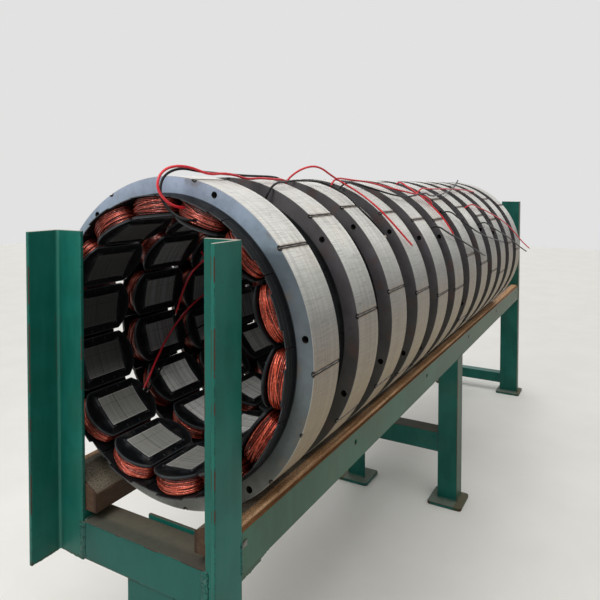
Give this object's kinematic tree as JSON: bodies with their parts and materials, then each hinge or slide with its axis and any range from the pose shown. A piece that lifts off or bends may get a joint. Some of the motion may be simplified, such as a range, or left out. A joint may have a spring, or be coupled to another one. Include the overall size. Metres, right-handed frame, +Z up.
{
  "type": "row of wound stator rings on a storage rack",
  "caption": "Row of laminated stator rings with wound tooth coils, resting on timber bearers in a painted angle-iron rack, with loose lead wires over the top",
  "frame": {"origin": "middle of the rack's footprint on the floor", "axes": "+Y runs along the row of rings from the front end to the far end, +X to the right as seen from the front, +Z up"},
  "size_m": [0.9561, 3.999, 1.7146],
  "materials": {
    "core_steel": "dull",
    "bobbin_plastic": "satin",
    "copper_wire": "enamelled",
    "rack_paint": "worn paint",
    "timber": "rough sawn",
    "red_insulation": "satin",
    "black_insulation": "satin"
  },
  "bodies": {
    "root": {"black_lead_1": "black_insulation", "black_lead_2": "black_insulation", "black_lead_3": "black_insulation", "black_lead_4": "black_insulation", "black_lead_5": "black_insulation", "black_lead_6": "black_insulation", "black_lead_7": "black_insulation", "coil_bobbins_front": "bobbin_plastic", "coil_bobbins_middle": "bobbin_plastic", "coil_bobbins_rear": "bobbin_plastic", "far_cross_beam": "rack_paint", "far_post_left": "rack_paint", "far_post_right": "rack_paint", "foot_plates": "rack_paint", "front_cross_member": "rack_paint", "front_leg": "rack_paint", "front_post_left": "rack_paint", "front_post_right": "rack_paint", "mid_cross_beam": "rack_paint", "mid_leg_left": "rack_paint", "mid_leg_right": "rack_paint", "rail_left": "rack_paint", "rail_right": "rack_paint", "red_lead_1": "red_insulation", "red_lead_2": "red_insulation", "red_lead_3": "red_insulation", "red_lead_4": "red_insulation", "red_lead_5": "red_insulation", "red_lead_6": "red_insulation", "red_lead_7": "red_insulation", "red_lead_8": "red_insulation", "stator_core_01": "core_steel", "stator_core_02": "core_steel", "stator_core_03": "core_steel", "stator_core_04": "core_steel", "stator_core_05": "core_steel", "stator_core_06": "core_steel", "stator_core_07": "core_steel", "stator_core_08": "core_steel", "stator_core_09": "core_steel", "stator_core_10": "core_steel", "stator_core_11": "core_steel", "stator_core_12": "core_steel", "timber_left": "timber", "timber_right": "timber", "windings_front": "copper_wire", "windings_middle": "copper_wire", "windings_rear": "copper_wire"}
  },
  "joints": []
}
